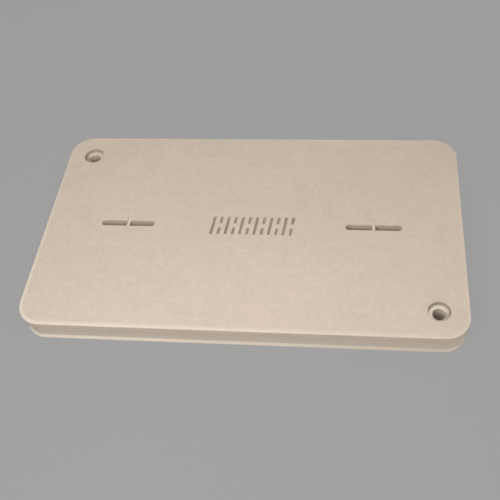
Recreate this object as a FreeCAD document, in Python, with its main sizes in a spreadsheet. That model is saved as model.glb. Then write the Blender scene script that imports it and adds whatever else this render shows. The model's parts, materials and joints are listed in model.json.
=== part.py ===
# Polymer concrete cable pit cover with two pull slots and two bolt holes.
#
# Millimetres, +Z up. The origin lies under the centre of the cover, on the
# surface that it rests on. +X runs along the cover and -Y is its front edge.
import FreeCAD, Part

import math
import os
import re

import Sketcher
from FreeCAD import Vector

SHEET = "Sizes"
SURFACE_MATCH = 0.01

SIZES = {
    # Cast slab
    "cover_length": 774.7,
    "cover_width": 447.7,
    "cover_thickness": 50.8,
    "corner_radius": 44.45,
    "edge_band": 4.0,
    "edge_round": 3.0,
    "wall_taper": 8.5,
    # Rim round the foot of the tapered wall
    "rim_inset": 2.5,
    "rim_face": 1.2,
    "rim_slope": 5.0,
    # Pull slots on the long centre line
    "slot_length": 101.6,
    "slot_width": 12.7,
    "slot_depth": 38.1,
    "slot_taper": 1.5,
    "slot_pitch": 457.2,
    # Cross pin cast into each pull slot, its rear end bare in a narrow groove
    "pin_diameter": 6.35,
    "pin_below_top": 0.8,
    "pin_hole_depth": 12.7,
    "pin_groove_length": 11.1,
    "pin_groove_width": 4.2,
    "pin_fit": 0.05,
    "pin_end_chamfer": 0.6,
    # Bolt holes in two opposite corners, each with a flanged bush
    "bolt_edge_distance": 50.8,
    "bush_bore": 22.2,
    "bush_wall": 1.6,
    "bush_fit": 0.05,
    "bush_end_gap": 0.8,
    "flange_diameter": 37.3,
    "flange_thickness": 1.6,
    "flange_below_top": 9.5,
    "flange_fit": 0.4,
    "flange_chamfer": 0.5,
    # Eased rims of the slots and recesses in the top face
    "opening_chamfer": 1.0,
    "chamfer_angle": 45.0,
}


# Places that two or more pieces share
PIN_AXIS_HEIGHT = "cover_thickness - pin_below_top - pin_diameter / 2"
PIN_REACH = "pin_hole_depth + slot_width + pin_groove_length"
BOLT_X = "cover_length / 2 - bolt_edge_distance"
BOLT_Y = "bolt_edge_distance - cover_width / 2"
PIN_GROOVE_END = "slot_width / 2 + pin_groove_length"
FLANGE_SEAT = "cover_thickness - flange_below_top - flange_thickness"
RECESS_DIAMETER = "flange_diameter + 2 * flange_fit"
GROWTH = "2 * opening_chamfer"


def make_sheet(doc):
    """Keep each driving size in a row of its own, under an alias."""
    sheet = doc.addObject("Spreadsheet::Sheet", SHEET)
    for row, (name, value) in enumerate(SIZES.items(), start=1):
        sheet.set(f"A{row}", name)
        sheet.set(f"B{row}", str(value))
        sheet.setAlias(f"B{row}", name)
    doc.recompute()
    return sheet


def bind(obj, path, formula):
    """Bind one property to a formula in the names of the sheet."""
    def cell(match):
        word = match.group(0)
        return f"{SHEET}.{word}" if word in SIZES else word
    obj.setExpression(path, re.sub(r"[a-z_]+", cell, formula))


def origin_feature(body, role):
    return next(item for item in body.Origin.OriginFeatures if item.Role == role)


def new_sketch(body, name, role="XY_Plane", lift=None):
    """A sketch on one of the body's own planes, moved along its normal."""
    sketch = body.newObject("Sketcher::SketchObject", name)
    sketch.AttachmentSupport = [(origin_feature(body, role), "")]
    sketch.MapMode = "FlatFace"
    if lift:
        bind(sketch, "AttachmentOffset.Base.z", lift)
    return sketch


def constrain(sketch, name, formula, *rule):
    """Add a named dimension to a sketch and bind it to the sheet."""
    index = sketch.addConstraint(Sketcher.Constraint(*rule))
    sketch.renameConstraint(index, name)
    bind(sketch, f"Constraints.{name}", formula)


def draw_rounded_rectangle(sketch, length, width, radius):
    """Rounded rectangle about the sketch origin, sized by three formulas."""
    x, y, r = 200.0, 100.0, 20.0
    flat_x, flat_y = x - r, y - r
    sides = [
        (Vector(-flat_x, -y), Vector(flat_x, -y)),
        (Vector(x, -flat_y), Vector(x, flat_y)),
        (Vector(flat_x, y), Vector(-flat_x, y)),
        (Vector(-x, flat_y), Vector(-x, -flat_y)),
    ]
    centres = [
        Vector(flat_x, -flat_y),
        Vector(flat_x, flat_y),
        Vector(-flat_x, flat_y),
        Vector(-flat_x, -flat_y),
    ]
    quarter = math.pi / 2
    lines = [sketch.addGeometry(Part.LineSegment(a, b), False) for a, b in sides]
    arcs = []
    for turn, centre in enumerate(centres):
        circle = Part.Circle(centre, Vector(0, 0, 1), r)
        start = (turn - 1) * quarter
        arc = Part.ArcOfCircle(circle, start, start + quarter)
        arcs.append(sketch.addGeometry(arc, False))
    for turn in range(4):
        following = lines[(turn + 1) % 4]
        direction = "Vertical" if turn % 2 else "Horizontal"
        sketch.addConstraint(Sketcher.Constraint(direction, lines[turn]))
        sketch.addConstraint(Sketcher.Constraint("Tangent", lines[turn], 2, arcs[turn], 1))
        sketch.addConstraint(Sketcher.Constraint("Tangent", arcs[turn], 2, following, 1))
    for arc in arcs[1:]:
        sketch.addConstraint(Sketcher.Constraint("Equal", arcs[0], arc))
    sketch.addConstraint(
        Sketcher.Constraint("Symmetric", lines[0], 1, lines[2], 1, -1, 1))
    constrain(sketch, "length", length, "DistanceX", lines[3], 1, lines[1], 1, 2 * x)
    constrain(sketch, "width", width, "DistanceY", lines[0], 1, lines[2], 1, 2 * y)
    constrain(sketch, "radius", radius, "Radius", arcs[0], r)


def draw_circle(sketch, x, y, diameter):
    """Circle placed and sized by three formulas."""
    circle = Part.Circle(Vector(50, 50, 0), Vector(0, 0, 1), 5.0)
    index = sketch.addGeometry(circle, False)
    place_point(sketch, index, 3, x, y)
    constrain(sketch, "diameter", diameter, "Diameter", index, 10.0)


def place_point(sketch, index, point, x, y):
    """Fix one point of a sketch from its origin; None puts it on the axis."""
    for name, formula, rule, axis in (("x", x, "DistanceX", -2), ("y", y, "DistanceY", -1)):
        if formula is None:
            sketch.addConstraint(
                Sketcher.Constraint("PointOnObject", index, point, axis))
        else:
            constrain(sketch, name, formula, rule, -1, 1, index, point, 50.0)


def draw_slot(sketch, x, length, width):
    """Slot with round ends, lying along X with its middle on the X axis."""
    r, half = 5.0, 30.0
    middle = 100.0
    up = Vector(0, 0, 1)
    left_end = Part.Circle(Vector(middle - half, 0), up, r)
    right_end = Part.Circle(Vector(middle + half, 0), up, r)
    quarter = math.pi / 2
    right = sketch.addGeometry(Part.ArcOfCircle(right_end, -quarter, quarter), False)
    top = sketch.addGeometry(
        Part.LineSegment(Vector(middle + half, r), Vector(middle - half, r)), False)
    left = sketch.addGeometry(Part.ArcOfCircle(left_end, quarter, 3 * quarter), False)
    bottom = sketch.addGeometry(
        Part.LineSegment(Vector(middle - half, -r), Vector(middle + half, -r)), False)
    ring = [right, top, left, bottom]
    for here, following in zip(ring, ring[1:] + ring[:1]):
        sketch.addConstraint(Sketcher.Constraint("Tangent", here, 2, following, 1))
    sketch.addConstraint(Sketcher.Constraint("Equal", right, left))
    sketch.addConstraint(Sketcher.Constraint("PointOnObject", right, 3, -1))
    sketch.addConstraint(Sketcher.Constraint("PointOnObject", left, 3, -1))
    straight = f"({length} - {width}) / 2"
    constrain(sketch, "left_x", f"{x} - {straight}", "DistanceX", -1, 1, left, 3, middle - half)
    constrain(sketch, "right_x", f"{x} + {straight}", "DistanceX", -1, 1, right, 3, middle + half)
    constrain(sketch, "radius", f"{width} / 2", "Radius", right, r)


def draw_rectangle(sketch, x, width, y_low, y_high):
    """Upright rectangle centred on x, between two heights of the sketch."""
    corners = [Vector(90, 10), Vector(110, 10), Vector(110, 40), Vector(90, 40)]
    ring = [
        sketch.addGeometry(Part.LineSegment(a, b), False)
        for a, b in zip(corners, corners[1:] + corners[:1])
    ]
    for turn, here in enumerate(ring):
        following = ring[(turn + 1) % 4]
        direction = "Vertical" if turn % 2 else "Horizontal"
        sketch.addConstraint(Sketcher.Constraint("Coincident", here, 2, following, 1))
        sketch.addConstraint(Sketcher.Constraint(direction, here))
    bottom, right, top, left = ring
    constrain(sketch, "left_x", f"{x} - ({width}) / 2", "DistanceX", -1, 1, bottom, 1, 90.0)
    constrain(sketch, "right_x", f"{x} + ({width}) / 2", "DistanceX", -1, 1, bottom, 2, 110.0)
    constrain(sketch, "low", y_low, "DistanceY", -1, 1, bottom, 1, 10.0)
    constrain(sketch, "high", y_high, "DistanceY", -1, 1, top, 1, 40.0)


def pad(body, name, sketch, length, taper=None, down=False):
    feature = body.newObject("PartDesign::Pad", name)
    feature.Profile = sketch
    feature.Reversed = down
    bind(feature, "Length", length)
    if taper:
        bind(feature, "TaperAngle", taper)
    return feature


def pocket(body, name, sketch, length=None, taper=None, reverse=False):
    """A pocket of the given length, or right through where it has none."""
    feature = body.newObject("PartDesign::Pocket", name)
    feature.Profile = sketch
    feature.Reversed = reverse
    if length:
        bind(feature, "Length", length)
    else:
        feature.Type = "ThroughAll"
    if taper:
        bind(feature, "TaperAngle", taper)
    return feature


def edges_at(feature, height):
    """Names of the edges that lie flat at one height."""
    names = []
    for number, edge in enumerate(feature.Shape.Edges, start=1):
        box = edge.BoundBox
        flat = max(abs(box.ZMin - height), abs(box.ZMax - height)) < SURFACE_MATCH
        if flat:
            names.append(f"Edge{number}")
    return names


def ease(body, name, kind, base, edges, size):
    """Round or chamfer the named edges of the feature before."""
    feature = body.newObject(f"PartDesign::{kind}", name)
    feature.Base = (base, edges)
    bind(feature, "Radius" if kind == "Fillet" else "Size", size)
    return feature


def make_cover_slab(doc, sizes):
    """The cast slab: tapered wall, foot rim, pull slots and bolt holes."""
    body = doc.addObject("PartDesign::Body", "cover_slab")

    def top_sketch(name):
        return new_sketch(body, name, lift="cover_thickness")

    edge = top_sketch("edge_outline")
    draw_rounded_rectangle(edge, "cover_length", "cover_width", "corner_radius")
    pad(body, "edge_land", edge, "edge_band", down=True)

    wall = new_sketch(body, "wall_outline", lift="cover_thickness - edge_band")
    draw_rounded_rectangle(wall, "cover_length", "cover_width", "corner_radius")
    pad(body, "tapered_wall", wall, "cover_thickness - edge_band", "-wall_taper", down=True)

    inner_length = "cover_length - 2 * rim_inset"
    inner_width = "cover_width - 2 * rim_inset"
    inner_radius = "corner_radius - rim_inset"
    rim = new_sketch(body, "rim_outline")
    draw_rounded_rectangle(rim, inner_length, inner_width, inner_radius)
    pad(body, "rim", rim, "rim_face")

    slope = new_sketch(body, "rim_slope_outline", lift="rim_face")
    draw_rounded_rectangle(slope, inner_length, inner_width, inner_radius)
    solid = pad(body, "rim_top", slope, "rim_slope", "-chamfer_angle")
    doc.recompute()

    top = sizes.cover_thickness
    ease(body, "edge_rounding", "Fillet", solid, edges_at(solid, top), "edge_round")

    slot = top_sketch("slot_outline")
    draw_slot(slot, "slot_pitch / 2", "slot_length", "slot_width")
    slot_rim = top_sketch("slot_rim_outline")
    draw_slot(slot_rim, "slot_pitch / 2", f"(slot_length + {GROWTH})", f"(slot_width + {GROWTH})")
    hole = new_sketch(body, "pin_hole_outline", "XZ_Plane", "slot_width / 2 + pin_hole_depth")
    draw_circle(hole, "slot_pitch / 2", PIN_AXIS_HEIGHT, "pin_diameter + 2 * pin_fit")
    groove = top_sketch("pin_groove_outline")
    draw_rectangle(groove, "slot_pitch / 2", "pin_groove_width", "0", PIN_GROOVE_END)
    slot_cuts = [
        pocket(body, "pull_slot", slot, "slot_depth", "-slot_taper"),
        pocket(body, "slot_rim", slot_rim, "opening_chamfer", "-chamfer_angle"),
        pocket(body, "pin_hole", hole, PIN_REACH),
        pocket(body, "pin_groove", groove, "pin_below_top + pin_diameter / 2"),
    ]
    mirrored = body.newObject("PartDesign::Mirrored", "opposite_slot")
    mirrored.Originals = slot_cuts
    mirrored.MirrorPlane = (origin_feature(body, "YZ_Plane"), [""])
    body.Tip = mirrored

    recess = top_sketch("bolt_recess_outline")
    draw_circle(recess, BOLT_X, BOLT_Y, RECESS_DIAMETER)
    recess_rim = top_sketch("bolt_recess_rim_outline")
    draw_circle(recess_rim, BOLT_X, BOLT_Y, f"{RECESS_DIAMETER} + {GROWTH}")
    bore = top_sketch("bolt_hole_outline")
    draw_circle(bore, BOLT_X, BOLT_Y, "bush_bore + 2 * bush_wall + 2 * bush_fit")
    bolt_cuts = [
        pocket(body, "bolt_recess", recess, "flange_below_top + flange_thickness"),
        pocket(body, "bolt_recess_rim", recess_rim, "opening_chamfer", "-chamfer_angle"),
        pocket(body, "bolt_hole", bore),
    ]
    turned = body.newObject("PartDesign::PolarPattern", "opposite_bolt_hole")
    turned.Originals = bolt_cuts
    turned.Axis = (origin_feature(body, "Z_Axis"), [""])
    turned.Angle = 360
    turned.Occurrences = 2
    body.Tip = turned
    return body


def make_pin(doc, name, side):
    """A round cross pin along Y, its front end in a blind hole."""
    body = doc.addObject("PartDesign::Body", name)
    section = new_sketch(body, f"{name}_section", "XZ_Plane")
    draw_circle(section, None, None, "pin_diameter")
    rod = pad(body, f"{name}_rod", section, f"{PIN_REACH} - 2 * pin_fit", down=True)
    doc.recompute()
    rims = [
        f"Edge{number}"
        for number, edge in enumerate(rod.Shape.Edges, start=1)
        if edge.BoundBox.YLength < SURFACE_MATCH
    ]
    ease(body, f"{name}_ends", "Chamfer", rod, rims, "pin_end_chamfer")
    bind(body, "Placement.Base.x", f"{side} * slot_pitch / 2")
    bind(body, "Placement.Base.y", "pin_fit - slot_width / 2 - pin_hole_depth")
    bind(body, "Placement.Base.z", PIN_AXIS_HEIGHT)
    return body


def draw_bush_section(sketch):
    """Half section of the flanged bush, radius along X and height along Y."""
    inner, outer, flange = 11.0, 13.0, 18.0
    low, seat, top = 1.0, 40.0, 42.0
    corners = [
        Vector(inner, low), Vector(outer, low), Vector(outer, seat),
        Vector(flange, seat), Vector(flange, top), Vector(inner, top),
    ]
    ring = [
        sketch.addGeometry(Part.LineSegment(a, b), False)
        for a, b in zip(corners, corners[1:] + corners[:1])
    ]
    for turn, here in enumerate(ring):
        following = ring[(turn + 1) % len(ring)]
        direction = "Vertical" if turn % 2 else "Horizontal"
        sketch.addConstraint(Sketcher.Constraint("Coincident", here, 2, following, 1))
        sketch.addConstraint(Sketcher.Constraint(direction, here))
    end, sleeve, underside, rim, face, bore = ring
    places = (
        ("bore", "bush_bore / 2", "DistanceX", end, 1, inner),
        ("sleeve", "bush_bore / 2 + bush_wall", "DistanceX", sleeve, 1, outer),
        ("flange", "flange_diameter / 2", "DistanceX", rim, 1, flange),
        ("low", "bush_end_gap", "DistanceY", end, 1, low),
        ("seat", FLANGE_SEAT, "DistanceY", underside, 1, seat),
        ("top", f"{FLANGE_SEAT} + flange_thickness", "DistanceY", face, 1, top),
    )
    for name, formula, rule, line, point, start in places:
        constrain(sketch, name, formula, rule, -1, 1, line, point, start)


def make_bush(doc, sizes, name, side):
    """A flanged sleeve turned about Z, seated on the floor of its recess."""
    body = doc.addObject("PartDesign::Body", name)
    section = new_sketch(body, f"{name}_section", "XZ_Plane")
    draw_bush_section(section)
    turned = body.newObject("PartDesign::Revolution", f"{name}_turned")
    turned.Profile = section
    turned.ReferenceAxis = (section, ["V_Axis"])
    turned.Angle = 360
    doc.recompute()
    face = sizes.cover_thickness - sizes.flange_below_top
    ease(body, f"{name}_edges", "Chamfer", turned, edges_at(turned, face), "flange_chamfer")
    bind(body, "Placement.Base.x", f"{side} * ({BOLT_X})")
    bind(body, "Placement.Base.y", f"{side} * ({BOLT_Y})")
    return body


def check(doc, parts):
    """Stop if an object failed or a part has no whole shape."""
    for obj in doc.Objects:
        failed = {"Invalid", "Error"} & set(obj.State)
        if failed:
            raise RuntimeError(f"{obj.Name} failed: {', '.join(failed)}")
    for part in parts:
        if part.Shape.isNull() or not part.Shape.isValid():
            raise RuntimeError(f"{part.Label} has no valid shape")


def main():
    doc = FreeCAD.newDocument("cable_pit_cover")
    sizes = make_sheet(doc)
    parts = [
        make_cover_slab(doc, sizes),
        make_pin(doc, "left_pull_pin", -1),
        make_pin(doc, "right_pull_pin", 1),
        make_bush(doc, sizes, "rear_left_bolt_bush", -1),
        make_bush(doc, sizes, "front_right_bolt_bush", 1),
    ]
    doc.recompute()
    check(doc, parts)
    os.makedirs("parts", exist_ok=True)
    for part in parts:
        part.Shape.exportStep(f"parts/{part.Label}.step")
        box = part.Shape.optimalBoundingBox(False)
        print(f"{part.Label}: {part.Shape.Volume:.0f} mm3, "
              f"{box.XLength:.2f} x {box.YLength:.2f} x {box.ZLength:.2f}, "
              f"z {box.ZMin:.2f} to {box.ZMax:.2f}")


main()
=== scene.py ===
import json
import math

import bmesh
import bpy
from mathutils import Matrix, Vector


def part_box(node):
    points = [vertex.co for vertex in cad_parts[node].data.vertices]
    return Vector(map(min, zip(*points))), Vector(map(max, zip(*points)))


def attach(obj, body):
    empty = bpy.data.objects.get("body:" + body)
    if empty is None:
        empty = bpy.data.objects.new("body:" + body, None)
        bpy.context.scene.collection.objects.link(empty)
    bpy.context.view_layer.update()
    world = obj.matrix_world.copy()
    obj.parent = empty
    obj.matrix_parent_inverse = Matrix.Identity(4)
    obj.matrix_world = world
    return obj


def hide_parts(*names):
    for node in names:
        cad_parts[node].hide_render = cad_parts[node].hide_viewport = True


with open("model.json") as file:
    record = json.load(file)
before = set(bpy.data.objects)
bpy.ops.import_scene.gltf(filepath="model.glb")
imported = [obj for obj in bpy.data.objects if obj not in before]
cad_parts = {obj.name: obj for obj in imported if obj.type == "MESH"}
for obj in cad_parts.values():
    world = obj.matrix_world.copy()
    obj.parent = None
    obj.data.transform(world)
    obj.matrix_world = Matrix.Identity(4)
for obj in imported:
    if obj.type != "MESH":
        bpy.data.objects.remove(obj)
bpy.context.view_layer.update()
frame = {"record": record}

# Sizes of the casting, in metres
CORNER_RADIUS = 0.04445
EDGE_BAND = 0.0040
EDGE_ROUND = 0.0030
WALL_TAPER = math.radians(8.5)
RIM_INSET = 0.0025
RIM_FACE = 0.0012
RIM_ROUND = 0.0005
SLOT_LENGTH = 0.1016
SLOT_WIDTH = 0.0127
SLOT_DEPTH = 0.0381
SLOT_TAPER = math.radians(1.5)
GROOVE_LENGTH = 0.0111
GROOVE_WIDTH = 0.0042
MOUTH_ROUND = 0.0010

# Sizes of the pins and bushes, and their clearances in the casting
PIN_FIT = 0.00005
PIN_END_ROUND = 0.0006
SLEEVE_WALL = 0.0016
SLEEVE_FIT = 0.00005
FLANGE_THICKNESS = 0.0016
FLANGE_FIT = 0.0004
BUSH_EDGE = 0.0003
BORE_LIP = 0.0010

# Recessed pattern in the middle of the top face: tall bars and pairs of short ones
PATTERN_CENTRE = Vector((0.0070, -0.0010, 0.0))
PATTERN_WIDTH = 0.160
PATTERN_HEIGHT = 0.0420
PATTERN_COLUMNS = 12
PATTERN_LEAN = math.radians(6)
PATTERN_DEPTH = 0.0025
BAR_WIDTH = 0.0056
BAR_CORNER = 0.0014
BAR_DRAFT = 0.0004
BAR_GAP = 0.0085
BAR_ROUND = 0.0004

# Steps in a quarter turn of an outline, and sides of a whole turn
CASTING_STEPS = 24
SLOT_STEPS = 12
BAR_STEPS = 4
PIN_HOLE_SIDES = 48
PIN_SIDES = 64
BUSH_SIDES = 96

# Segments across a rounding
EDGE_SEGMENTS = 6
MOUTH_SEGMENTS = 4
BORE_LIP_SEGMENTS = 5
BUSH_EDGE_SEGMENTS = 2
SMALL_SEGMENTS = 3

# How far an edge turns before it is rounded, on the casting and on a bush, and before it is
# shaded sharp
CASTING_CORNER = math.radians(40)
BUSH_CORNER = math.radians(60)
SHARP_SHADING = math.radians(38)

# How far a cutter stands past the face that it cuts, how near counts as touching, and how
# near two corners that a cut or a rounding leaves become one
OVER = 0.0020
TOUCH = 1e-6
MERGE = 1e-5

# Half the floor's width, and how far it lies under the foot so that no faces coincide
FLOOR_REACH = 12.0
FLOOR_GAP = 0.0001

# Camera fitted to the photograph, in its 500 by 500 frame
PHOTO_SIZE = 500
FOCAL_PIXELS = 770.4
CENTRE_PIXEL = (268.1, 205.7)
CAMERA_OVER_TOP_FACE = Vector((0.20550, -0.87118, 1.10417))
CAMERA_RIGHT = Vector((0.99264, 0.08923, -0.08184))
CAMERA_DOWN = Vector((0.01615, -0.76751, -0.64084))
SENSOR_WIDTH = 36.0

# Name, place, target, width and watts of each lamp, and strength of the light from all round
LAMPS = (
    ("key_softbox", (-0.17, -0.66, 0.97), (0.0, 0.0, 0.0), 0.9, 8.9),
    ("back_lamp", (0.49, 0.63, 1.3), (0.1, -0.05, 0.0), 0.3, 1.0),
    ("front_fill", (-0.80, -1.90, 0.40), (0.0, -0.22, 0.02), 1.0, 1.7),
    ("right_fill", (1.90, -0.60, 0.17), (0.36, -0.18, 0.03), 0.5, 8.0),
)
SKY_LIGHT = 0.46

PINS = ("left_pull_pin", "right_pull_pin")
BUSHES = ("rear_left_bolt_bush", "front_right_bolt_bush")


def box_of(node):
    """Lowest corner, highest corner and middle of a node."""
    low, high = (Vector(corner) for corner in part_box(node))
    return low, high, (low + high) / 2


# Sizes and places that the frame gives
BORE = next(mount for mount in frame["record"]["mounts"] if mount["kind"] == "bore")
HALF_LENGTH, HALF_WIDTH, TOP = box_of("cover_slab")[1]
SLOT_FOOT = TOP - SLOT_DEPTH
BUSH_CENTRE = tuple(abs(value) for value in BORE["pos_m"][:2])
BORE_RADIUS = BORE["dims"]["r_mm"] / 1000
SLEEVE_RADIUS = BORE_RADIUS + SLEEVE_WALL
FLANGE_FACE = box_of(BUSHES[0])[1].z
FLANGE_SEAT = FLANGE_FACE - FLANGE_THICKNESS


def near(a, b):
    return abs(a - b) < TOUCH


def new_piece(name, bm):
    """Turn a bmesh into an object at the origin."""
    mesh = bpy.data.meshes.new(name)
    bm.to_mesh(mesh)
    bm.free()
    piece = bpy.data.objects.new(name, mesh)
    bpy.context.scene.collection.objects.link(piece)
    return piece


# Blocks with a rounded outline, rods and roundings


def bridge_sides(bm, axis, half):
    """Fill the straight stretch between two corners, on both sides of one axis."""
    if half < TOUCH:
        return
    for side in (-1, 1):
        ends = [
            edge for edge in bm.edges
            if all(near(abs(v.co[axis]), half) for v in edge.verts)
            and all(v.co[1 - axis] * side > 0 for v in edge.verts)
        ]
        bmesh.ops.bridge_loops(bm, edges=ends)


def rounded_block(section, half_x, half_y, steps):
    """Block whose corner radius follows the section's (radius, height) pairs.

    One corner is spun about its centre at half_x, half_y, mirrored twice, joined
    along the straight sides and capped.
    """
    bm = bmesh.new()
    chain = [bm.verts.new((radius, 0.0, height)) for radius, height in section]
    links = [bm.edges.new(pair) for pair in zip(chain, chain[1:])]
    bmesh.ops.spin(
        bm, geom=chain + links, cent=(0, 0, 0), axis=(0, 0, 1), angle=math.pi / 2, steps=steps)
    bmesh.ops.translate(bm, verts=bm.verts[:], vec=(half_x, half_y, 0))
    for axis in ("X", "Y"):
        whole = bm.verts[:] + bm.edges[:] + bm.faces[:]
        bmesh.ops.mirror(bm, geom=whole, axis=axis, merge_dist=TOUCH)
    bridge_sides(bm, 0, half_x)
    bridge_sides(bm, 1, half_y)
    bmesh.ops.holes_fill(bm, edges=[edge for edge in bm.edges if edge.is_boundary])
    bmesh.ops.recalc_face_normals(bm, faces=bm.faces[:])
    return bm


def round_block(radius, low, high):
    """Upright cylinder between two heights."""
    return rounded_block([(radius, low), (radius, high)], 0.0, 0.0, CASTING_STEPS)


def add_block(bm, block, place):
    """Put a finished block into another bmesh, at a place."""
    block.transform(place)
    mesh = bpy.data.meshes.new("block")
    block.to_mesh(mesh)
    block.free()
    bm.from_mesh(mesh)
    bpy.data.meshes.remove(mesh)


def add_rod(bm, radius, length, sides, place=Matrix.Identity(4)):
    """Put a cylinder into a bmesh: upright about the origin, or turned and moved to a place."""
    bmesh.ops.create_cone(
        bm, cap_ends=True, segments=sides, radius1=radius, radius2=radius, depth=length,
        matrix=place)


def at(x, y):
    return Matrix.Translation((x, y, 0))


def lying_at(middle):
    """The turn and move that lay an upright rod along Y, about a middle."""
    return Matrix.Translation(middle) @ Matrix.Rotation(math.pi / 2, 4, "X")


def round_edges(bm, edges, size, segments):
    bmesh.ops.bevel(
        bm, geom=edges, offset=size, offset_type="OFFSET", segments=segments,
        profile=0.5, affect="EDGES", material=-1, clamp_overlap=False)


def round_level(bm, height, size, segments, sharper_than=0.0):
    """Round the edges that lie level at one height and turn by more than an angle."""
    edges = [
        edge for edge in bm.edges
        if all(near(v.co.z, height) for v in edge.verts)
        and len(edge.link_faces) == 2
        and edge.calc_face_angle() > sharper_than
    ]
    round_edges(bm, edges, size, segments)


# The casting


def side_section():
    """The side from the foot up, as (corner radius, height) pairs."""
    draft = math.tan(WALL_TAPER)
    band_foot = TOP - EDGE_BAND
    slope_top = (band_foot * draft + RIM_FACE - RIM_INSET) / (1 + draft)
    insets = (
        (RIM_INSET, 0.0),
        (RIM_INSET, RIM_FACE),
        ((band_foot - slope_top) * draft, slope_top),
        (0.0, band_foot),
        (0.0, TOP),
    )
    return [(CORNER_RADIUS - inset, height) for inset, height in insets]


def outer_form():
    """The uncut slab, with its top edge and the corners of its foot rim rounded."""
    section = side_section()
    bm = rounded_block(
        section, HALF_LENGTH - CORNER_RADIUS, HALF_WIDTH - CORNER_RADIUS, CASTING_STEPS)
    round_level(bm, TOP, EDGE_ROUND, EDGE_SEGMENTS)
    for _, height in section[1:3]:
        round_level(bm, height, RIM_ROUND, SMALL_SEGMENTS)
    return bm


def slots_and_recesses():
    """The tapered pull slots, and the recesses round the bushes' flanges."""
    bm = bmesh.new()
    radius = SLOT_WIDTH / 2
    foot_radius = radius - SLOT_DEPTH * math.tan(SLOT_TAPER)
    section = [(foot_radius, SLOT_FOOT), (radius, TOP), (radius, TOP + OVER)]
    for pin in PINS:
        block = rounded_block(section, (SLOT_LENGTH - SLOT_WIDTH) / 2, 0.0, SLOT_STEPS)
        add_block(bm, block, at(box_of(pin)[2].x, 0))
    for bush in BUSHES:
        low, high, middle = box_of(bush)
        block = round_block((high.x - low.x) / 2 + FLANGE_FIT, FLANGE_SEAT, TOP + OVER)
        add_block(bm, block, at(middle.x, middle.y))
    return bm


def bolt_holes():
    """The holes round the bushes' sleeves, from the underside up into the recesses."""
    bm = bmesh.new()
    for bush in BUSHES:
        middle = box_of(bush)[2]
        block = round_block(SLEEVE_RADIUS + SLEEVE_FIT, -OVER, FLANGE_SEAT + OVER)
        add_block(bm, block, at(middle.x, middle.y))
    return bm


def pin_grooves():
    """The narrow groove over the rear end of each pin."""
    bm = bmesh.new()
    length = SLOT_WIDTH / 2 + GROOVE_LENGTH
    for pin in PINS:
        middle = box_of(pin)[2]
        made = bmesh.ops.create_cube(bm, size=1.0)["verts"]
        height = TOP + OVER - middle.z
        bmesh.ops.scale(bm, verts=made, vec=(GROOVE_WIDTH, length, height))
        bmesh.ops.translate(bm, verts=made, vec=(middle.x, length / 2, middle.z + height / 2))
    return bm


def pin_holes():
    """One round hole for the whole of each pin, blind at both ends."""
    bm = bmesh.new()
    for pin in PINS:
        low, high, middle = box_of(pin)
        radius = (high.z - low.z) / 2 + PIN_FIT
        length = high.y - low.y + 2 * PIN_FIT
        add_rod(bm, radius, length, PIN_HOLE_SIDES, lying_at(middle))
    return bm


def pattern_bars():
    """Slightly leaning bars, by turns one tall bar and two short ones in a column."""
    bm = bmesh.new()
    lean = Matrix.Identity(4)
    lean[0][1] = math.tan(PATTERN_LEAN)
    pitch = PATTERN_WIDTH / PATTERN_COLUMNS
    short = (PATTERN_HEIGHT - BAR_GAP) / 2
    section = [(BAR_CORNER - BAR_DRAFT, TOP - PATTERN_DEPTH), (BAR_CORNER, TOP + OVER)]
    for column in range(PATTERN_COLUMNS):
        x = (column - (PATTERN_COLUMNS - 1) / 2) * pitch
        if column % 2:
            bars = [(short, side * (short + BAR_GAP) / 2) for side in (-1, 1)]
        else:
            bars = [(PATTERN_HEIGHT, 0.0)]
        for height, y in bars:
            block = rounded_block(
                section, BAR_WIDTH / 2 - BAR_CORNER, height / 2 - BAR_CORNER, BAR_STEPS)
            add_block(bm, block, Matrix.Translation(PATTERN_CENTRE) @ lean @ at(x, y))
    return bm


def cut(bm, cutters):
    """Take a set of separate blocks out of a bmesh."""
    piece = new_piece("uncut", bm)
    tool = new_piece("cutter", cutters)
    rule = piece.modifiers.new("cut", "BOOLEAN")
    rule.operation = "DIFFERENCE"
    rule.solver = "EXACT"
    rule.object = tool
    bpy.context.view_layer.update()
    shaped = piece.evaluated_get(bpy.context.evaluated_depsgraph_get())
    result = bmesh.new()
    result.from_mesh(shaped.to_mesh())
    shaped.to_mesh_clear()
    for spent in (piece, tool):
        bpy.data.objects.remove(spent)
    bmesh.ops.remove_doubles(result, verts=result.verts[:], dist=MERGE)
    return result


def make_casting():
    """The slab with its slots, recesses, holes, grooves and pattern, their mouths rounded."""
    bm = cut(outer_form(), slots_and_recesses())
    round_level(bm, TOP, MOUTH_ROUND, MOUTH_SEGMENTS, sharper_than=CASTING_CORNER)
    round_level(bm, SLOT_FOOT, MOUTH_ROUND, SMALL_SEGMENTS)
    for make_cutters in (bolt_holes, pin_grooves, pin_holes, pattern_bars):
        bm = cut(bm, make_cutters())
    round_level(bm, TOP, BAR_ROUND, SMALL_SEGMENTS, sharper_than=CASTING_CORNER)
    round_level(bm, 0.0, RIM_ROUND, SMALL_SEGMENTS, sharper_than=CASTING_CORNER)
    bmesh.ops.remove_doubles(bm, verts=bm.verts[:], dist=MERGE)
    return shade_smooth(new_piece("cast_cover", bm))


def shade_smooth(piece):
    """Smooth shading that keeps flat faces flat and sharp corners sharp."""
    mesh = piece.data
    mesh.polygons.foreach_set("use_smooth", [True] * len(mesh.polygons))
    mesh.set_sharp_from_angle(angle=SHARP_SHADING)
    weigh = piece.modifiers.new("flat faces stay flat", "WEIGHTED_NORMAL")
    weigh.keep_sharp = True
    return piece


# The metal pieces


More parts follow.
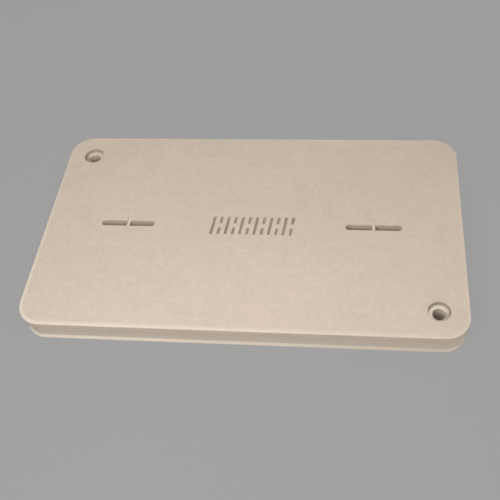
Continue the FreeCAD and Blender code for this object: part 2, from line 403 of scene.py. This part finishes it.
def make_pin(node):
    """A drawn rod lying along Y, its ends rounded off."""
    low, high, middle = box_of(node)
    length = high.y - low.y
    bm = bmesh.new()
    add_rod(bm, (high.z - low.z) / 2, length, PIN_SIDES)
    for end in (-length / 2, length / 2):
        round_level(bm, end, PIN_END_ROUND, SMALL_SEGMENTS)
    bm.transform(lying_at(middle))
    return shade_smooth(new_piece(node.replace("pull_pin", "cross_pin"), bm))


def make_bush(node):
    """A flanged sleeve turned about its own axis, with a rounded lip at the bore."""
    low, high, middle = box_of(node)
    flange = (high.x - low.x) / 2
    corners = (
        (BORE_RADIUS, low.z), (SLEEVE_RADIUS, low.z), (SLEEVE_RADIUS, FLANGE_SEAT),
        (flange, FLANGE_SEAT), (flange, high.z), (BORE_RADIUS, high.z),
    )
    bm = bmesh.new()
    ring = [bm.verts.new((radius, 0.0, height)) for radius, height in corners]
    links = [bm.edges.new(pair) for pair in zip(ring, ring[1:] + ring[:1])]
    bmesh.ops.spin(
        bm, geom=ring + links, cent=(0, 0, 0), axis=(0, 0, 1), angle=math.tau,
        steps=BUSH_SIDES, use_merge=True)
    bmesh.ops.recalc_face_normals(bm, faces=bm.faces[:])
    lip = [
        edge for edge in bm.edges
        if all(near(v.co.z, high.z) and v.co.xy.length < SLEEVE_RADIUS for v in edge.verts)
    ]
    round_edges(bm, lip, BORE_LIP, BORE_LIP_SEGMENTS)
    rims = [edge for edge in bm.edges if edge.calc_face_angle() > BUSH_CORNER]
    round_edges(bm, rims, BUSH_EDGE, BUSH_EDGE_SEGMENTS)
    bm.transform(at(middle.x, middle.y))
    return shade_smooth(new_piece(node.replace("bolt_bush", "flanged_bush"), bm))


# Node trees, built by short calls


class Nodes:
    """A node tree whose calls take sockets or plain values."""

    def __init__(self, tree):
        self.tree = tree

    def node(self, kind, inputs=None, **settings):
        """A new node, with its inputs by name or number."""
        made = self.tree.nodes.new(f"ShaderNode{kind}")
        for key, value in settings.items():
            setattr(made, key, value)
        for key, value in (inputs or {}).items():
            self.feed(made.inputs[key], value)
        return made

    def feed(self, socket, value):
        """Link a socket to an output, or set its constant."""
        if isinstance(value, bpy.types.NodeSocket):
            self.tree.links.new(value, socket)
        else:
            socket.default_value = value

    def calc(self, operation, a, b=0.0):
        return self.node("Math", {0: a, 1: b}, operation=operation).outputs[0]

    def times(self, product, *factors):
        for factor in factors:
            product = self.calc("MULTIPLY", product, factor)
        return product

    def minus(self, a, b):
        return self.calc("SUBTRACT", a, b)

    def ramp(self, value, bounds, results=(0.0, 1.0), smooth=False):
        """Map a value from one pair of bounds to a pair of results, and hold it past both."""
        made = self.node("MapRange", {
            "Value": value, "From Min": bounds[0], "From Max": bounds[1],
            "To Min": results[0], "To Max": results[1],
        }, interpolation_type="SMOOTHSTEP" if smooth else "LINEAR")
        return made.outputs["Result"]

    def mix(self, factor, a, b, blend="MIX"):
        """Mix two colours by a factor."""
        made = self.node("Mix", data_type="RGBA", blend_type=blend)
        inputs = {socket.identifier: socket for socket in made.inputs}
        self.feed(inputs["Factor_Float"], factor)
        self.feed(inputs["A_Color"], a)
        self.feed(inputs["B_Color"], b)
        return next(socket for socket in made.outputs if socket.identifier == "Result_Color")

    def shade(self, colour, factor):
        """Lighten or darken a colour by a factor that varies over the surface."""
        grey = self.node("CombineColor", {0: factor, 1: factor, 2: factor}).outputs[0]
        return self.mix(1.0, colour, grey, "MULTIPLY")

    def xyz(self, vector):
        return self.node("SeparateXYZ", {0: vector}).outputs

    def show(self, output, lighting, seen, share=1.0):
        """Give the eye, reflections and glass a shader other than the one that lights."""
        rays = self.node("LightPath").outputs
        direct = self.calc("MAXIMUM", rays["Is Camera Ray"], rays["Is Glossy Ray"])
        direct = self.calc("MAXIMUM", direct, rays["Is Transmission Ray"])
        both = self.node("MixShader", {0: self.times(direct, share), 1: lighting, 2: seen})
        self.feed(self.tree.nodes[output].inputs["Surface"], both.outputs[0])


class Material(Nodes):
    """A material's nodes round its principled surface. Scales are per metre."""

    def __init__(self, name):
        self.material = bpy.data.materials.new(name)
        self.material.use_nodes = True
        super().__init__(self.material.node_tree)
        self.surface = self.tree.nodes["Principled BSDF"]
        self.place = self.node("TexCoord").outputs["Object"]

    def set(self, key, value):
        self.feed(self.surface.inputs[key], value)

    def noise(self, scale, detail=4.0, roughness=0.5, stretch=None):
        place = self.place
        if stretch:
            place = self.node("Mapping", {"Vector": place, "Scale": stretch}).outputs[0]
        made = self.node("TexNoise", {
            "Vector": place, "Scale": scale, "Detail": detail, "Roughness": roughness})
        return made.outputs["Fac"]

    def shaken(self, reach, scale):
        """The place pushed about by fine noise, so that cells lose their straight edges."""
        shake = self.node("TexNoise", {"Vector": self.place, "Scale": scale}).outputs["Color"]
        centred = self.node("VectorMath", {0: shake, 1: (0.5, 0.5, 0.5)}, operation="SUBTRACT")
        small = self.node("VectorMath", {0: centred.outputs[0], "Scale": reach}, operation="SCALE")
        moved = self.node("VectorMath", {0: self.place, 1: small.outputs[0]}, operation="ADD")
        return moved.outputs[0]

    def cells(self, place, scale):
        """Distance to the middle of each cell, and two numbers of its own for each cell."""
        made = self.node("TexVoronoi", {"Vector": place, "Scale": scale})
        own = self.node("SeparateColor", {0: made.outputs["Color"]}).outputs
        return made.outputs["Distance"], own[0], own[1]

    def spots(self, place, scale, sizes, soft_edge, smooth=False):
        """One round spot in each cell, and the number that tells the cells apart.

        The sizes are the radius of the smallest and the largest, as shares of a cell.
        """
        from_middle, number, size = self.cells(place, scale)
        radius = self.ramp(size, (0.0, 1.0), sizes)
        spot = self.ramp(self.minus(radius, from_middle), (0.0, soft_edge), smooth=smooth)
        return spot, number

    def bump(self, height, distance, earlier=None):
        """The normal tilted by a height, over an earlier relief where one is given."""
        made = self.node("Bump", {"Height": height, "Distance": distance, "Strength": 1.0})
        if earlier is not None:
            self.feed(made.inputs["Normal"], earlier)
        return made.outputs["Normal"]


def distance_from_outline(mat, x, y):
    """How far a point lies inside the rounded outline of the top face."""
    over_x = mat.minus(mat.calc("ABSOLUTE", x), HALF_LENGTH - CORNER_RADIUS)
    over_y = mat.minus(mat.calc("ABSOLUTE", y), HALF_WIDTH - CORNER_RADIUS)
    past_x = mat.calc("POWER", mat.calc("MAXIMUM", over_x, 0.0), 2.0)
    past_y = mat.calc("POWER", mat.calc("MAXIMUM", over_y, 0.0), 2.0)
    past = mat.calc("SQRT", mat.calc("ADD", past_x, past_y))
    within = mat.calc("MINIMUM", mat.calc("MAXIMUM", over_x, over_y), 0.0)
    return mat.minus(CORNER_RADIUS, mat.calc("ADD", past, within))


def distance_from_bush(mat, x, y):
    """How far a point lies from the axis of the bush nearest to it."""
    across = [
        mat.minus(mat.calc("ABSOLUTE", value), centre)
        for value, centre in zip((x, y), BUSH_CENTRE)
    ]
    squares = [mat.calc("POWER", value, 2.0) for value in across]
    return mat.calc("SQRT", mat.calc("ADD", *squares))


# Colours of the finishes


def rgb(red, green, blue):
    return (red, green, blue, 1.0)


TAN = rgb(0.626, 0.522, 0.421)
WARM_TAN = rgb(0.656, 0.542, 0.434)
ASHEN_TAN = rgb(0.580, 0.497, 0.407)
# Pale tan of worn edges, also painted on them as their highlight
WORN_AND_HIGHLIT_TAN = rgb(0.80, 0.70, 0.58)
DARK_GRAIN = rgb(0.25, 0.20, 0.155)
PALE_GRAIN = rgb(0.82, 0.76, 0.66)
# Dark brown painted as the shade inside the pinholes, which only a bump shapes
PINHOLE_PAINTED_SHADE = rgb(0.20, 0.16, 0.12)
# Pale dust low on the wall, also painted light that lightens it towards the foot
WALL_DUST_AND_LIGHT = rgb(0.70, 0.655, 0.57)
# Grime, also painted as the shade in what is sunken
GRIME_AND_SHADE = rgb(0.140, 0.112, 0.084)

PIN_STEEL = rgb(0.86, 0.79, 0.69)
PIN_FILM = rgb(0.76, 0.68, 0.57)
BUSH_STEEL = rgb(0.95, 0.87, 0.76)
BUSH_FILM = rgb(0.88, 0.79, 0.67)
# Dust on the flanges, also painted as the recess wall's shadow; the darker one lies at the outer
# side
FLANGE_DUST_AND_SHADOW = rgb(0.58, 0.49, 0.39)
OUTER_DUST_AND_SHADOW = rgb(0.40, 0.34, 0.27)
BORE_DUST = rgb(0.74, 0.65, 0.53)
# Dirt deep down the bores, also painted as the shade that deepens there
DEEP_DIRT_AND_SHADE = rgb(0.20, 0.145, 0.09)

WHITE = rgb(1.0, 1.0, 1.0)
LIT_GREY = rgb(0.380, 0.380, 0.377)

# The floor's grey, how much of it is the same everywhere, and the grey past its far edge
FLOOR_GREY = rgb(0.352, 0.352, 0.352)
EVEN_SHARE = 0.85
HORIZON_GREY = rgb(0.325, 0.325, 0.325)

# Bounds of a noise where it shades a colour or a roughness, makes a film, or makes patches
SHADE_BOUNDS = (0.3, 0.7)
FILM_BOUNDS = (0.35, 0.7)
PATCH_BOUNDS = (0.3, 0.65)

# Where the casting's finish changes, in metres. Each pair is where a layer begins and where
# it is full: by height, by distance inwards from the outline or from a bush's axis, or by
# place along or across. Wear with its painted highlight is full first and fades towards the
# right and the rear, away from the light
TOP_HEIGHTS = (TOP - 0.0050, TOP - 0.0030)
SUNKEN_HEIGHTS = (TOP - 0.0006, TOP - 0.0020)
FLOOR_HEIGHTS = (SLOT_FOOT, TOP - PATTERN_DEPTH)
SLOT_WALL_HEIGHTS = (TOP - 0.001, TOP - 0.030)
RECESS_HEIGHTS = (TOP - 0.0006, TOP - 0.0025)
WALL_DUST_AND_LIGHT_HEIGHTS = (0.034, 0.008)
FOOT_HEIGHTS = (0.0066, 0.0050)
BORDER_INWARDS = (0.0090, 0.0035)
GRIME_AND_SHADE_INWARDS = (0.014, 0.018)
RECESS_REACH = (0.0205, 0.0195)
FOOT_SHADE_ALONG = (-0.25, 0.33)
WEAR_AND_HIGHLIGHT_ALONG = (-0.6 * HALF_LENGTH, HALF_LENGTH)
WEAR_AND_HIGHLIGHT_ACROSS = (-0.6 * HALF_WIDTH, HALF_WIDTH)

# The same for the bushes: by height, outwards to the cover's near end, and towards the front
# and that end together
BORE_DUST_HEIGHTS = (FLANGE_FACE - 0.0015, FLANGE_FACE - 0.0035)
DEEP_DIRT_AND_SHADE_HEIGHTS = (FLANGE_FACE - 0.008, FLANGE_FACE - 0.025)
OUTER_DUST_AND_SHADOW_REACH = (0.0, 0.013)
FLANGE_DUST_AND_SHADOW_REACH = (-0.004, 0.010)

# Polymer concrete


def cast_tone(mat, cloud):
    """Broad tone, soft mottling, faint streaks along the length and small flecks."""
    colour = mat.mix(mat.ramp(mat.noise(4.0, 3.0), (0.35, 0.65)), TAN, WARM_TAN)
    colour = mat.mix(mat.ramp(cloud, (0.48, 0.74), (0.0, 0.5)), colour, ASHEN_TAN)
    streak = mat.noise(1.0, 5.0, 0.6, stretch=(9.0, 160.0, 60.0))
    colour = mat.shade(colour, mat.ramp(streak, SHADE_BOUNDS, (0.985, 1.015)))
    fleck = mat.noise(110.0, 4.0, 0.6)
    return mat.shade(colour, mat.ramp(fleck, SHADE_BOUNDS, (0.96, 1.04)))


def add_sand(mat, colour, ragged, blotch, sand):
    """Grit, blotches and sand, each slightly lighter or darker than the rest."""
    grit = mat.cells(ragged, 640.0)[1]
    colour = mat.shade(colour, mat.ramp(grit, (0.0, 1.0), (0.97, 1.03)))
    colour = mat.shade(colour, mat.ramp(blotch, SHADE_BOUNDS, (0.965, 1.035)))
    return mat.shade(colour, mat.ramp(sand, (0.25, 0.75), (0.95, 1.05)))


def add_grains(mat, colour, ragged):
    """A few dark and pale grains of different size."""
    grain, number = mat.spots(ragged, 260.0, (0.10, 0.34), 0.06)
    dark = mat.times(grain, mat.calc("GREATER_THAN", number, 0.93))
    pale = mat.times(grain, mat.calc("LESS_THAN", number, 0.09))
    colour = mat.mix(mat.times(dark, 0.32), colour, DARK_GRAIN)
    return mat.mix(mat.times(pale, 0.30), colour, PALE_GRAIN)


def pinholes(mat, ragged):
    """1 in the pinholes that air leaves in one cell of ten, and 0 elsewhere."""
    pore, number = mat.spots(ragged, 120.0, (0.035, 0.095), 0.03, smooth=True)
    return mat.times(pore, mat.calc("GREATER_THAN", number, 0.90))


def wear_and_highlight_edges(mat, colour, x, y, z, up, inwards, patchy):
    """Wear and a painted highlight: paler border and rounded edges of the top face, most of all at
    the front left, where the light falls.
    """
    at_top = mat.ramp(z, TOP_HEIGHTS)
    # Painted highlight with the wear, strongest at the front left where the light falls
    worn_and_highlit = mat.times(
        mat.ramp(x, WEAR_AND_HIGHLIGHT_ALONG, (1.0, 0.35)), mat.ramp(y, WEAR_AND_HIGHLIGHT_ACROSS, (1.0, 0.35)), patchy)
    border = mat.times(mat.ramp(inwards, BORDER_INWARDS, smooth=True), at_top)
    colour = mat.mix(mat.times(border, worn_and_highlit, 0.55), colour, WORN_AND_HIGHLIT_TAN)
    rounding = mat.times(
        mat.ramp(up, (0.15, 0.5), smooth=True),
        mat.ramp(up, (0.99, 0.93), smooth=True),
        at_top)
    return mat.mix(mat.times(rounding, worn_and_highlit, 0.32), colour, WORN_AND_HIGHLIT_TAN)


def wall_dust_light_and_foot_shade(mat, colour, x, z, patchy):
    """Pale dust low on the wall that also paints it lighter towards the foot, and painted shade on
    the foot rim, darker towards its right end where less light falls.
    """
    # Dust with painted light, growing towards the foot
    dust_and_painted_light = mat.times(mat.ramp(z, WALL_DUST_AND_LIGHT_HEIGHTS, (0.0, 0.42), smooth=True), patchy)
    colour = mat.mix(dust_and_painted_light, colour, WALL_DUST_AND_LIGHT)
    # Painted shade: the foot rim darkens towards its right end, where less light falls
    shaded_foot = mat.times(mat.ramp(z, FOOT_HEIGHTS, smooth=True), mat.ramp(x, FOOT_SHADE_ALONG))
    return mat.shade(colour, mat.ramp(shaded_foot, (0.0, 1.0), (1.0, 0.84)))


def grime_and_painted_shade(mat, x, y, z, up, inwards, cloud):
    """Grime and painted shade on the floors of the pattern, down the slots and in the bushes'
    recesses, where shade falls.
    """
    floors = mat.times(
        mat.ramp(z, SUNKEN_HEIGHTS, (0.0, 0.58), smooth=True),
        mat.ramp(z, FLOOR_HEIGHTS, (0.70, 1.0)),
        mat.ramp(up, (0.3, 0.8)))
    walls = mat.times(
        mat.ramp(z, SLOT_WALL_HEIGHTS, (0.0, 0.09)), mat.ramp(up, (0.6, 0.2)))
    recess = mat.times(
        mat.ramp(distance_from_bush(mat, x, y), RECESS_REACH), mat.ramp(z, RECESS_HEIGHTS), 0.36)
    grime_and_shade = mat.calc("MAXIMUM", mat.calc("ADD", floors, walls), recess)
    patches = mat.ramp(cloud, PATCH_BOUNDS, (0.8, 1.15))
    return mat.times(grime_and_shade, patches, mat.ramp(inwards, GRIME_AND_SHADE_INWARDS))


def concrete():
    """Sandy tan polymer concrete as cast: worn edges with a painted highlight, dust and painted
    light low on the wall, painted shade on the foot rim and in the pinholes, and grime with
    painted shade in what is sunken.
    """
    mat = Material("polymer_concrete")
    x, y, z = mat.xyz(mat.place)
    up = mat.xyz(mat.node("NewGeometry").outputs["Normal"])["Z"]
    inwards = distance_from_outline(mat, x, y)
    ragged = mat.shaken(0.0011, 900.0)
    cloud = mat.noise(24.0, 6.0, 0.62)
    patchy = mat.ramp(cloud, PATCH_BOUNDS, (0.55, 1.0))
    blotch = mat.noise(700.0, 3.0, 0.6)
    sand = mat.noise(2600.0, 2.0, 0.7)
    in_pore = pinholes(mat, ragged)

    colour = cast_tone(mat, cloud)
    colour = add_sand(mat, colour, ragged, blotch, sand)
    colour = add_grains(mat, colour, ragged)
    # Painted shade in the pinholes
    colour = mat.mix(mat.times(in_pore, 0.6), colour, PINHOLE_PAINTED_SHADE)
    colour = wear_and_highlight_edges(mat, colour, x, y, z, up, inwards, patchy)
    colour = wall_dust_light_and_foot_shade(mat, colour, x, z, patchy)
    grime_and_shade = grime_and_painted_shade(mat, x, y, z, up, inwards, cloud)
    # Grime with painted shade darkens the pattern's floors, the slots and the recesses
    mat.set("Base Color", mat.mix(grime_and_shade, colour, GRIME_AND_SHADE))
    mat.set("Roughness", mat.ramp(cloud, SHADE_BOUNDS, (0.80, 0.90)))
    mat.set("Specular IOR Level", 0.25)

    relief = mat.bump(mat.noise(55.0, 4.0), 0.00035)
    relief = mat.bump(blotch, 0.00018, relief)
    relief = mat.bump(sand, 0.00008, relief)
    relief = mat.bump(mat.minus(1.0, in_pore), 0.0004, relief)
    mat.set("Normal", relief)
    return mat.material


# Steel


def drawn_steel():
    """Dull stainless bar with fine lines along its length and a film of pale dust."""
    mat = Material("pin_steel")
    lines = mat.noise(1.0, 4.0, 0.65, stretch=(3200.0, 40.0, 3200.0))
    film = mat.noise(260.0, 4.0, 0.6)
    mat.set("Base Color", mat.mix(mat.ramp(film, FILM_BOUNDS), PIN_STEEL, PIN_FILM))
    mat.set("Metallic", mat.ramp(film, FILM_BOUNDS, (0.50, 0.25)))
    mat.set("Roughness", mat.ramp(lines, SHADE_BOUNDS, (0.54, 0.68)))
    mat.set("Normal", mat.bump(lines, 0.00004))
    return mat.material


def turned_rings(mat, x, y, z):
    """Noise that runs in fine rings about each bush's axis."""
    radius = distance_from_bush(mat, x, y)
    turning = mat.node("CombineXYZ", {0: mat.times(radius, 5200.0), 1: mat.times(z, 2600.0)})
    rings = mat.node("TexNoise", {"Vector": turning.outputs[0], "Detail": 3.0, "Scale": 1.0})
    return rings.outputs["Fac"]


def flange_dust_and_shadow(mat, x, y):
    """Where dust and painted shadow lie on the flange, towards the front and the near end where
    the recess wall shades it, and their colour.
    """
    outwards = mat.minus(mat.calc("ABSOLUTE", x), BUSH_CENTRE[0])
    from_y = mat.minus(mat.calc("ABSOLUTE", y), BUSH_CENTRE[1])
    rearwards = mat.times(from_y, mat.calc("SIGN", y))
    towards = mat.minus(mat.times(outwards, 0.55), mat.times(rearwards, 0.85))
    settled_and_shaded = mat.ramp(towards, FLANGE_DUST_AND_SHADOW_REACH, (0.0, 0.85), smooth=True)
    colour = mat.mix(mat.ramp(outwards, OUTER_DUST_AND_SHADOW_REACH), FLANGE_DUST_AND_SHADOW, OUTER_DUST_AND_SHADOW)
    return settled_and_shaded, colour


def turned_steel():
    """Turned stainless with fine rings about each bush's axis, dust and painted shadow on the
    flange, dull and dusty down the bore, and dirt with painted shade deeper down.
    """
    mat = Material("bush_steel")
    x, y, z = mat.xyz(mat.place)
    rings = turned_rings(mat, x, y, z)
    settled_and_shaded, dust_and_painted_light = flange_dust_and_shadow(mat, x, y)
    in_bore = mat.ramp(z, BORE_DUST_HEIGHTS)

    film = mat.noise(180.0, 4.0, 0.6)
    colour = mat.mix(mat.ramp(film, FILM_BOUNDS), BUSH_STEEL, BUSH_FILM)
    # Dust with painted shadow on the flange's front and outer side
    colour = mat.mix(settled_and_shaded, colour, dust_and_painted_light)
    colour = mat.mix(mat.times(in_bore, 0.9), colour, BORE_DUST)
    # Dirt with painted shade, darker deeper down the bore
    colour = mat.mix(mat.ramp(z, DEEP_DIRT_AND_SHADE_HEIGHTS, (0.0, 0.62)), colour, DEEP_DIRT_AND_SHADE)
    mat.set("Base Color", colour)
    dull = mat.calc("MAXIMUM", settled_and_shaded, in_bore)
    mat.set("Metallic", mat.ramp(dull, (0.0, 1.0), (0.42, 0.12)))
    mat.set("Roughness", mat.ramp(rings, SHADE_BOUNDS, (0.42, 0.54)))
    mat.set("Normal", mat.bump(rings, 0.00004))
    return mat.material


# Backdrop


def backdrop_grey():
    """Matte grey floor, even to the eye and in reflections, with the shadows kept faint."""
    mat = Material("floor_grey")
    mat.set("Base Color", LIT_GREY)
    mat.set("Roughness", 0.95)
    mat.set("Specular IOR Level", 0.1)
    even = mat.node("Emission", {"Color": FLOOR_GREY, "Strength": 1.0})
    mat.show("Material Output", mat.surface.outputs[0], even.outputs[0], EVEN_SHARE)
    return mat.material


def studio_world():
    """White light from all round, seen by the eye and in reflections as the backdrop's grey."""
    world = bpy.data.worlds.new("studio")
    world.use_nodes = True
    nodes = Nodes(world.node_tree)
    light = nodes.tree.nodes["Background"]
    nodes.feed(light.inputs["Color"], WHITE)
    nodes.feed(light.inputs["Strength"], SKY_LIGHT)
    grey = nodes.node("Background", {"Color": HORIZON_GREY, "Strength": 1.0})
    nodes.show("World Output", light.outputs[0], grey.outputs[0])
    return world


# Pieces


def dress(piece, node, material):
    """Put a piece in a node's place, with its finish."""
    piece.data.materials.clear()
    piece.data.materials.append(material)
    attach(piece, "root")
    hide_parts(node)


dress(make_casting(), "cover_slab", concrete())
pin_finish = drawn_steel()
for pin in PINS:
    dress(make_pin(pin), pin, pin_finish)
bush_finish = turned_steel()
for bush in BUSHES:
    dress(make_bush(bush), bush, bush_finish)

# Floor, light and camera


def add_floor():
    bm = bmesh.new()
    under = Matrix.Translation((0, 0, -FLOOR_GAP))
    bmesh.ops.create_grid(bm, x_segments=1, y_segments=1, size=FLOOR_REACH, matrix=under)
    floor = new_piece("floor", bm)
    floor.data.materials.append(backdrop_grey())


def add_soft_light(name, place, target, width, watts):
    """A square area light that faces its target."""
    lamp = bpy.data.lights.new(name, "AREA")
    lamp.size = width
    lamp.energy = watts
    holder = bpy.data.objects.new(name, lamp)
    bpy.context.scene.collection.objects.link(holder)
    holder.location = place
    holder.visible_camera = False
    aim = Vector(target) - Vector(place)
    holder.rotation_euler = aim.to_track_quat("-Z", "Y").to_euler()


def add_camera():
    """The camera fitted to the photograph, placed from the middle of the top face."""
    eye = bpy.data.cameras.new("camera")
    eye.sensor_width = SENSOR_WIDTH
    eye.lens = FOCAL_PIXELS / PHOTO_SIZE * SENSOR_WIDTH
    eye.shift_x = (PHOTO_SIZE / 2 - CENTRE_PIXEL[0]) / PHOTO_SIZE
    eye.shift_y = (CENTRE_PIXEL[1] - PHOTO_SIZE / 2) / PHOTO_SIZE
    camera = bpy.data.objects.new("camera", eye)
    bpy.context.scene.collection.objects.link(camera)
    forward = CAMERA_RIGHT.cross(CAMERA_DOWN)
    turn = Matrix((CAMERA_RIGHT, -CAMERA_DOWN, -forward)).transposed()
    place = Matrix.Translation(CAMERA_OVER_TOP_FACE + Vector((0, 0, TOP)))
    camera.matrix_world = place @ turn.to_4x4()
    bpy.context.scene.camera = camera


add_floor()
for lamp in LAMPS:
    add_soft_light(*lamp)
add_camera()
bpy.context.scene.world = studio_world()
bpy.context.scene.view_settings.view_transform = "Standard"
